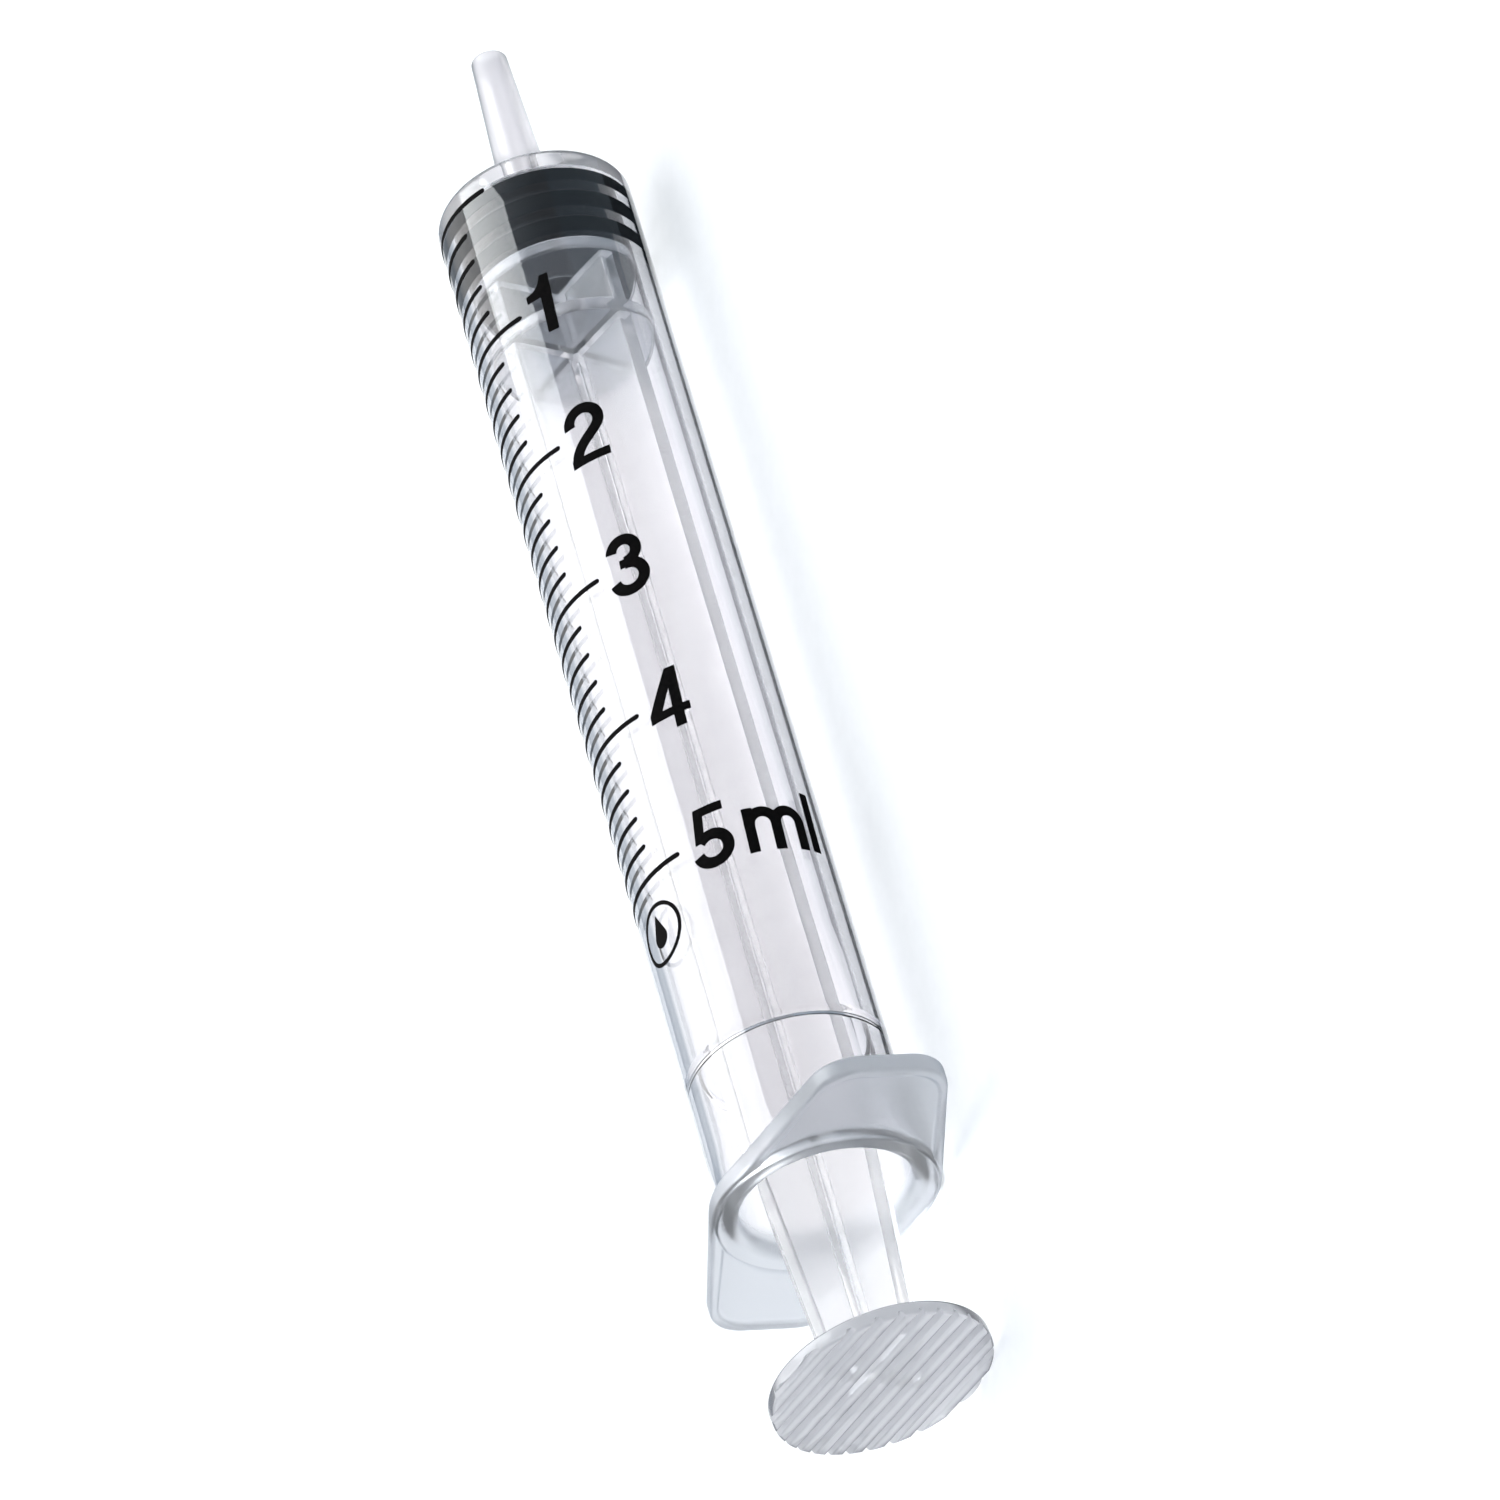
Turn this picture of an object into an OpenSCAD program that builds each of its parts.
// 5 ml oral syringe: a moulded barrel with finger flange and slip nozzle, a rubber
// stopper, a cross-ribbed plunger rod with a thumb press, and the printed scale.
// Each shape is drawn about its own Z axis with the nozzle mouth at Z = 0 and the
// thumb press at high Z, and lay_down() turns that axis to point along -X.
// Angles round the axis start at the top of the lying syringe and grow to the front.

/* [Volume and scale] */
// Volume up to the last line, in millilitres
volume_ml = 5; // [2:1:6]
// Inside diameter of the barrel
bore_d = 10.9; // [10.6:0.1:11.4]
// Number of spaces between two numbered lines
steps_per_ml = 5; // [2:1:10]
// Thickness of the printed ink
ink_h = 0.03; // [0.02:0.01:0.05]
// Width of a printed line along the barrel
line_w = 0.34; // [0.2:0.02:0.5]
// Angle where every line starts, behind the top
line_start_a = -42; // [-60:1:-20]
// Angle where the numbered lines end
long_line_a = 40; // [25:0.5:50]
// Angle where the short lines end
short_line_a = 19.5; // [0:0.5:24]

/* [Barrel] */
// Wall thickness of the barrel
wall = 1; // [0.8:0.05:1.2]
// Distance from the nozzle mouth to the zero line
zero_z = 15; // [14:0.5:18]
// Distance from the nozzle mouth to the front of the finger flange
flange_z = 90.5; // [88:0.1:100]
// Radius of the rounded front edge
front_round = 0.8; // [0.5:0.1:1]
// Height of the ring that stops the guide disc, near the open end
stop_ring_h = 0.25; // [0.22:0.01:0.28]
// Distance from the stop ring to the front of the finger flange
stop_ring_back = 9; // [7:0.5:12]
// Chamfer at the open end
mouth_chamfer = 0.75; // [0.3:0.05:0.9]

/* [Nozzle] */
// Diameter of the passage through the nozzle
passage_d = 1.4; // [1:0.1:1.6]
// Outside diameter of the nozzle at its mouth
nozzle_tip_d = 2.4; // [2.3:0.02:2.8]
// Outside diameter of the nozzle at the top of its flared foot
nozzle_base_d = 3.06; // [2.9:0.02:3.6]
// Straight length of the nozzle, mouth to flared foot
nozzle_len = 7.8; // [6:0.1:9]
// Diameter of the flared foot where it meets the conical shoulder
foot_d = 6; // [4.6:0.1:6.6]

/* [Finger flange] */
// Length of the flange, wing tip to wing tip
flange_len = 27.4; // [24:0.2:32]
// Width of the flange across the barrel
flange_w = 14.4; // [14.2:0.1:16]
// Width of a wing at its end
wing_end_w = 8.8; // [7:0.2:11]
// Corner radius of a wing
wing_corner_r = 2.8; // [1.5:0.1:3.4]
// Thickness of the flange plate
flange_t = 1.1; // [1:0.1:1.6]
// Height of the raised rim on the rear of the wings
rim_h = 0.2; // [0.1:0.05:0.4]
// Width of the raised rim
rim_w = 0.8; // [0.5:0.1:1.2]
// Height of the round collar at the mouth, above the plate
collar_h = 0.35; // [0.2:0.05:0.6]

/* [Stopper] */
// Gap between a sealing rib and the bore, each side
seal_gap = 0.05; // [0.02:0.01:0.1]
// Length of the rubber stopper without its nose
stopper_len = 5.1; // [4.6:0.1:6]
// How far the front sealing rib lies ahead of the zero line at rest
stopper_lead = 0.4; // [0:0.1:0.5]
// Depth of the grooves between the sealing ribs
groove_depth = 0.45; // [0.2:0.05:0.6]
// Height of the conical nose
nose_h = 0.9; // [0.5:0.1:1]
// Gap between the stopper's socket and the plunger's head
socket_gap = 0.1; // [0.06:0.02:0.14]

/* [Plunger rod] */
// Gap between the ribs and the bore, each side
rib_gap = 0.35; // [0.3:0.05:0.6]
// Gap between the discs and the bore, each side, less than the stop ring's height
disc_gap = 0.15; // [0.1:0.01:0.2]
// Thickness of a rib of the cross
rib_t = 1; // [0.8:0.1:1.4]
// Thickness of each round disc on the rod
disc_t = 1; // [0.8:0.1:1.2]
// Distance between the front disc and the guide disc
disc_space = 4.1; // [3:0.1:6]
// Half width of the ribs at the thumb press
rib_end_r = 3.7; // [3.2:0.1:4.6]
// Diameter of the head that snaps into the stopper
head_d = 5; // [4:0.2:5.4]
// Diameter of the neck behind the head
neck_d = 3.4; // [3:0.2:3.8]
// Angle of the first rib from the top, growing to the front
rod_turn = 19; // [0:0.5:90]

/* [Thumb press] */
// Distance from the nozzle mouth to the middle of the thumb press
press_z = 104.1; // [102.5:0.1:106]
// Diameter of the thumb press
press_d = 14.1; // [12:0.1:14.4]
// Thickness of the disc under the ridges
press_t = 0.65; // [0.6:0.05:1.6]
// Pitch of the ridges
ridge_pitch = 1.24; // [1:0.02:1.6]
// Depth of the cuts between the ridges
ridge_depth = 0.4; // [0.3:0.05:0.8]
// Width of a cut at its bottom
cut_w = 0.3; // [0.2:0.05:0.5]
// Set of the thumb press out of square, in degrees
press_lean = 5.3; // [0:0.1:6]
// Side of the thumb press that lies forward, as an angle from the top
press_lean_a = 154.5; // [0:0.5:360]

/* [Hidden] */
$fn = 96;
eps = 0.01;

bore_r = bore_d / 2;
barrel_r = bore_r + wall;
ml_pitch = 1000 / (PI * bore_r * bore_r);

// Stations along the axis, measured from the nozzle mouth
shoulder_z = zero_z - 1;
face_z = shoulder_z - front_round;
foot_z = face_z - 2;
flange_rear_z = flange_z + flange_t;
mouth_z = flange_rear_z + collar_h;
stop_ring_z = flange_z - stop_ring_back;
stopper_z = zero_z - stopper_lead;
stopper_rear_z = stopper_z + stopper_len;
bore_end_z = stopper_z - 0.25;

// Conical end of the bore, a little steeper than the stopper's nose
bore_cone_h = nose_h + 0.25;

// Stopper ribs: share of the length taken by each rib and groove, front to rear
rib_cuts = [0.2, 0.34, 0.6, 0.74];
seal_r = bore_r - seal_gap;
groove_r = seal_r - groove_depth;
head_r = head_d / 2;
neck_r = neck_d / 2;
head_len = 1.5;
neck_len = 1.6;
head_cone = 0.6;

rib_r = bore_r - rib_gap;
disc_r = bore_r - disc_gap;
front_disc_z = stopper_rear_z + socket_gap;
guide_disc_z = front_disc_z + disc_t + disc_space;
taper_z = flange_z - 1;
press_r = press_d / 2;
ridge_count = ceil(press_d / ridge_pitch / 2);
press_foot_h = 1;
ring_half_w = 0.5;

// Point on a circle of radius r about c, at angle a
function on_circle(c, r, a) = [c[0] + r * cos(a), c[1] + r * sin(a)];

// Quarter or part arc from angle a0 to a1
function arc_points(c, r, a0, a1, n) = [for (i = [0:n]) on_circle(c, r, a0 + (a1 - a0) * i / n)];

// Angle of the straight side that touches the flange's round middle and a wing corner
function side_angle(mid_r, corner, corner_r) =
    atan2(corner[1], corner[0]) + acos((mid_r - corner_r) / norm(corner));

module lay_down() {
    rotate([0, -90, 0])
        children();
}

// One quarter of the flange outline, from the round middle to the wing's end
function wing_quarter(half_len, mid_r, half_end, corner_r) =
    let (
        corner = [half_end - corner_r, half_len - corner_r],
        a = 90 - side_angle(mid_r, [corner[1], corner[0]], corner_r)
    )
    concat(arc_points([0, 0], mid_r, 0, a, 6), arc_points(corner, corner_r, a, 90, 8));

// Points of a list in the opposite order, each multiplied by a pair of signs
function flipped(points, signs) =
    [for (i = [len(points) - 1:-1:0]) [points[i][0] * signs[0], points[i][1] * signs[1]]];
function signed(points, signs) = [for (p = points) [p[0] * signs[0], p[1] * signs[1]]];
function without_first(points) = [for (i = [1:len(points) - 1]) points[i]];

// Flange seen along the barrel: round middle, wings to either side, all set in by inset
module flange_outline(inset) {
    quarter = wing_quarter(
        flange_len / 2 - inset,
        flange_w / 2 - inset,
        wing_end_w / 2 - inset,
        wing_corner_r - inset
    );
    polygon(concat(
        quarter,
        flipped(quarter, [-1, 1]),
        signed(without_first(quarter), [-1, -1]),
        flipped(without_first(quarter), [1, -1])
    ));
}

// Outside of the barrel and nozzle in section, radius against distance from the mouth
module barrel_section() {
    tip_r = nozzle_tip_d / 2;
    tip_round = 0.25;
    foot_r = foot_d / 2;
    base_r = nozzle_base_d / 2;
    flare = foot_z - nozzle_len;
    polygon(concat(
        [[0, 0]],
        arc_points([tip_r - tip_round, tip_round], tip_round, -90, 0, 4),
        [for (i = [0:6]) [
            base_r + (foot_r - base_r) * (1 - cos(90 * i / 6)),
            nozzle_len + flare * sin(90 * i / 6)
        ]],
        arc_points([barrel_r - front_round, shoulder_z], front_round, -90, 0, 8),
        [[barrel_r, flange_z + eps], [0, flange_z + eps]]
    ));
}

// Space inside the barrel: conical end, bore and chamfered mouth
module bore_space() {
    translate([0, 0, bore_end_z])
        cylinder(r = bore_r, h = mouth_z - bore_end_z + eps);
    translate([0, 0, bore_end_z - bore_cone_h])
        cylinder(r1 = passage_d / 2, r2 = bore_r, h = bore_cone_h);
    translate([0, 0, mouth_z - mouth_chamfer])
        cylinder(r1 = bore_r, r2 = bore_r + mouth_chamfer + eps, h = mouth_chamfer + eps);
    translate([0, 0, -eps])
        cylinder(d = passage_d, h = bore_end_z);
}

// Low rounded ring inside the bore that keeps the plunger from being pulled out
module stop_ring() {
    rotate_extrude()
        polygon([
            [bore_r - stop_ring_h, stop_ring_z - ring_half_w / 2],
            [bore_r - stop_ring_h, stop_ring_z + ring_half_w / 2],
            [bore_r + eps, stop_ring_z + ring_half_w],
            [bore_r + eps, stop_ring_z - ring_half_w],
        ]);
}

module barrel() {
    color([0.86, 0.89, 0.93, 0.35])
        lay_down() {
            difference() {
                union() {
                    rotate_extrude()
                        barrel_section();
                    translate([0, 0, flange_z])
                        linear_extrude(flange_t)
                            flange_outline(0);
                    translate([0, 0, flange_z])
                        cylinder(d = flange_w - 0.2, h = flange_t + collar_h);
                    translate([0, 0, flange_z])
                        linear_extrude(flange_t + rim_h)
                            difference() {
                                flange_outline(0);
                                flange_outline(rim_w);
                            }
                }
                bore_space();
            }
            stop_ring();
        }
}

// Stopper outside in section: nose, three sealing ribs and two grooves
module stopper_section() {
    cut_z = [for (share = rib_cuts) stopper_z + share * stopper_len];
    slope = 0.15;
    polygon([
        [0, stopper_z - nose_h],
        [seal_r, stopper_z],
        [seal_r, cut_z[0]],
        [groove_r, cut_z[0] + slope],
        [groove_r, cut_z[1] - slope],
        [seal_r, cut_z[1]],
        [seal_r, cut_z[2]],
        [groove_r, cut_z[2] + slope],
        [groove_r, cut_z[3] - slope],
        [seal_r, cut_z[3]],
        [seal_r, stopper_rear_z],
        [0, stopper_rear_z],
    ]);
}

// Plunger head and neck in section, grown by gap for the socket that holds them
module head_section(gap) {
    neck_front_z = front_disc_z - socket_gap - neck_len;
    polygon([
        [0, neck_front_z - head_len - gap],
        [head_r - head_cone + gap / 2, neck_front_z - head_len - gap],
        [head_r + gap, neck_front_z - head_len + head_cone],
        [head_r + gap, neck_front_z + gap],
        [neck_r + gap, neck_front_z + gap],
        [neck_r + gap, front_disc_z + eps],
        [0, front_disc_z + eps],
    ]);
}

module rubber_stopper() {
    color([0.13, 0.15, 0.17])
        lay_down()
            rotate_extrude()
                difference() {
                    stopper_section();
                    head_section(socket_gap);
                }
}

// Rib seen from its side: full width in the barrel, narrower towards the thumb press
module rib_blade() {
    translate([0, rib_t / 2, 0])
        rotate([90, 0, 0])
            linear_extrude(rib_t)
                polygon([
                    [-rib_r, front_disc_z + eps],
                    [rib_r, front_disc_z + eps],
                    [rib_r, taper_z],
                    [rib_end_r, press_z - press_foot_h],
                    [rib_end_r + press_foot_h / 2, press_z + press_t / 2],
                    [-rib_end_r - press_foot_h / 2, press_z + press_t / 2],
                    [-rib_end_r, press_z - press_foot_h],
                    [-rib_r, taper_z],
                ]);
}

// One cut between two ridges, wider at its top
module ridge_cut() {
    top_w = cut_w * 1.9;
    rotate([90, 0, 0])
        linear_extrude(press_d + 2, center = true)
            polygon([
                [-cut_w / 2, 0],
                [cut_w / 2, 0],
                [top_w / 2, ridge_depth + eps],
                [-top_w / 2, ridge_depth + eps],
            ]);
}

// Round thumb press with parallel ridges on its outer face
module thumb_press() {
    difference() {
        cylinder(r = press_r, h = press_t + ridge_depth);
        translate([0, 0, press_t])
            for (i = [-ridge_count:ridge_count])
                translate([(i + 0.5) * ridge_pitch, 0, 0])
                    ridge_cut();
    }
}

module plunger_rod() {
    color([0.93, 0.94, 0.96])
        lay_down() {
            translate([0, 0, press_z])
                rotate([0, 0, -press_lean_a])
                    rotate([0, press_lean, 0])
                        rotate([0, 0, press_lean_a - rod_turn])
                            thumb_press();
            rotate([0, 0, -rod_turn]) {
                rotate_extrude()
                    head_section(0);
                for (z = [front_disc_z, guide_disc_z])
                    translate([0, 0, z])
                        cylinder(r = disc_r, h = disc_t);
                for (a = [0, 90])
                    rotate([0, 0, a])
                        rib_blade();
            }
        }
}

// One printed line: a thin arc band on the barrel from line_start_a to end_a
module scale_line(ml, end_a) {
    translate([0, 0, zero_z + ml * ml_pitch - line_w / 2])
        rotate([0, 0, -end_a])
            rotate_extrude(angle = end_a - line_start_a)
                translate([barrel_r, 0])
                    square([ink_h, line_w]);
}

module scale_long_lines() {
    color([0.05, 0.05, 0.06])
        lay_down()
            for (ml = [0:volume_ml])
                scale_line(ml, long_line_a);
}

module scale_short_lines() {
    color([0.05, 0.05, 0.06])
        lay_down()
            for (ml = [0:volume_ml - 1], i = [1:steps_per_ml - 1])
                scale_line(ml + i / steps_per_ml, short_line_a);
}

barrel();
rubber_stopper();
plunger_rod();
scale_long_lines();
scale_short_lines();
